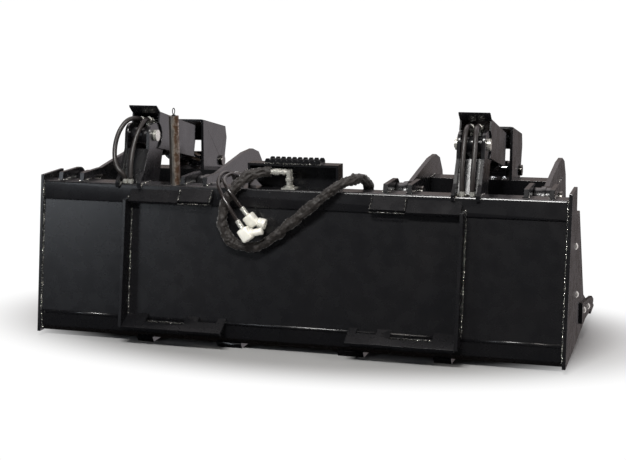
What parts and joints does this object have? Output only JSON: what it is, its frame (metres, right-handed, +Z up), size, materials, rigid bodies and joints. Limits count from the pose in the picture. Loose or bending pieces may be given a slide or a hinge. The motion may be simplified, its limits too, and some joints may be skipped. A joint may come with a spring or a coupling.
{
  "type": "skid steer grapple bucket",
  "caption": "Low skid steer bucket with a quick-attach back and two hydraulic grapple jaws, each with its own guarded cylinder, and a stowed hose pair.",
  "frame": {"origin": "on the ground under the middle of the bucket, halfway between the quick-attach side plates' rear corners and the tip of the cutting edge", "axes": "+X across the bucket, +Y forward to the cutting edge, away from the machine, +Z up"},
  "size_m": [1.888, 0.922, 0.8112],
  "materials": {
    "black_paint": "semi-gloss powder coat",
    "edge_steel": "semi-gloss paint over rolled plate",
    "zinc_plate": "zinc plated",
    "pin_steel": "turned and oiled",
    "bare_tube": "drawn tube with light rust",
    "plug_plastic": "moulded",
    "braided_sleeve": "woven nylon sleeve",
    "hose_rubber": "smooth extruded cover",
    "cast_gland": "machined",
    "chrome_rod": "ground and hard chromed"
  },
  "bodies": {
    "root": {"attach_bottom_lips": "black_paint", "attach_posts": "black_paint", "attach_top_lips": "black_paint", "back_sheet": "black_paint", "base_pins": "pin_steel", "bulkhead_fittings": "zinc_plate", "corner_guards": "edge_steel", "coupler_elbows": "zinc_plate", "couplers": "zinc_plate", "cutting_edge": "edge_steel", "cylinder_bracket_left": "black_paint", "cylinder_bracket_right": "black_paint", "cylinder_hoses_left": "hose_rubber", "cylinder_hoses_right": "hose_rubber", "end_plate_bolts": "zinc_plate", "end_plate_left": "black_paint", "end_plate_right": "black_paint", "floor_plate": "black_paint", "hinge_lugs": "black_paint", "hinge_pins": "pin_steel", "hose_box": "black_paint", "hose_bundle": "braided_sleeve", "hose_ferrules": "zinc_plate", "hose_lead_a": "hose_rubber", "hose_lead_b": "hose_rubber", "oil_lines": "black_paint", "pin_nuts": "zinc_plate", "side_cutters": "black_paint", "step_tread": "black_paint", "stow_post": "bare_tube", "stow_post_plug": "plug_plastic", "supply_elbows": "zinc_plate", "top_beam": "black_paint", "wear_straps": "edge_steel"},
    "jaw_left": {"jaw_tines_left": "black_paint", "jaw_hubs_left": "black_paint", "jaw_cross_tubes_left": "black_paint", "jaw_ear_box_left": "black_paint", "jaw_inner_ears_left": "black_paint", "rod_pin_left": "pin_steel"},
    "barrel_left": {"cylinder_barrel_left": "black_paint", "rod_gland_left": "cast_gland", "port_fittings_left": "zinc_plate", "cylinder_guard_left": "black_paint", "guard_clamps_left": "black_paint"},
    "rod_left": {"piston_rod_left": "chrome_rod", "piston_left": "cast_gland"},
    "jaw_right": {"jaw_tines_right": "black_paint", "jaw_hubs_right": "black_paint", "jaw_cross_tubes_right": "black_paint", "jaw_ear_box_right": "black_paint", "jaw_inner_ears_right": "black_paint", "rod_pin_right": "pin_steel"},
    "barrel_right": {"cylinder_barrel_right": "black_paint", "rod_gland_right": "cast_gland", "port_fittings_right": "zinc_plate", "cylinder_guard_right": "black_paint", "guard_clamps_right": "black_paint"},
    "rod_right": {"piston_rod_right": "chrome_rod", "piston_right": "cast_gland"}
  },
  "joints": [
    {"name": "jaw_hinge_left", "type": "hinge", "parent": "root", "child": "jaw_left", "pos_m": [-0.587, -0.174, 0.53], "axis": [1, 0, 0], "range_deg": [0, 40]},
    {"name": "barrel_pivot_left", "type": "hinge", "parent": "root", "child": "barrel_left", "pos_m": [-0.587, -0.201, 0.702], "axis": [1, 0, 0], "range_deg": [0, 38.19], "deforming": ["cylinder_hoses_left"]},
    {"name": "rod_slide_left", "type": "slide", "parent": "barrel_left", "child": "rod_left", "axis": [0, 0.9623, -0.2719], "range_m": [-0.1182, 0]},
    {"name": "jaw_hinge_right", "type": "hinge", "parent": "root", "child": "jaw_right", "pos_m": [0.587, -0.174, 0.53], "axis": [1, 0, 0], "range_deg": [0, 40]},
    {"name": "barrel_pivot_right", "type": "hinge", "parent": "root", "child": "barrel_right", "pos_m": [0.587, -0.201, 0.702], "axis": [1, 0, 0], "range_deg": [0, 38.19], "deforming": ["cylinder_hoses_right"]},
    {"name": "rod_slide_right", "type": "slide", "parent": "barrel_right", "child": "rod_right", "axis": [0, 0.9623, -0.2719], "range_m": [-0.1182, 0]}
  ],
  "couplings": [
    {"joint": "barrel_pivot_left", "follows": "jaw_hinge_left", "ratio": 0.95237},
    {"joint": "rod_slide_left", "follows": "jaw_hinge_left", "m_per_rad": -0.16885},
    {"joint": "barrel_pivot_right", "follows": "jaw_hinge_right", "ratio": 0.95237},
    {"joint": "rod_slide_right", "follows": "jaw_hinge_right", "m_per_rad": -0.16885}
  ]
}
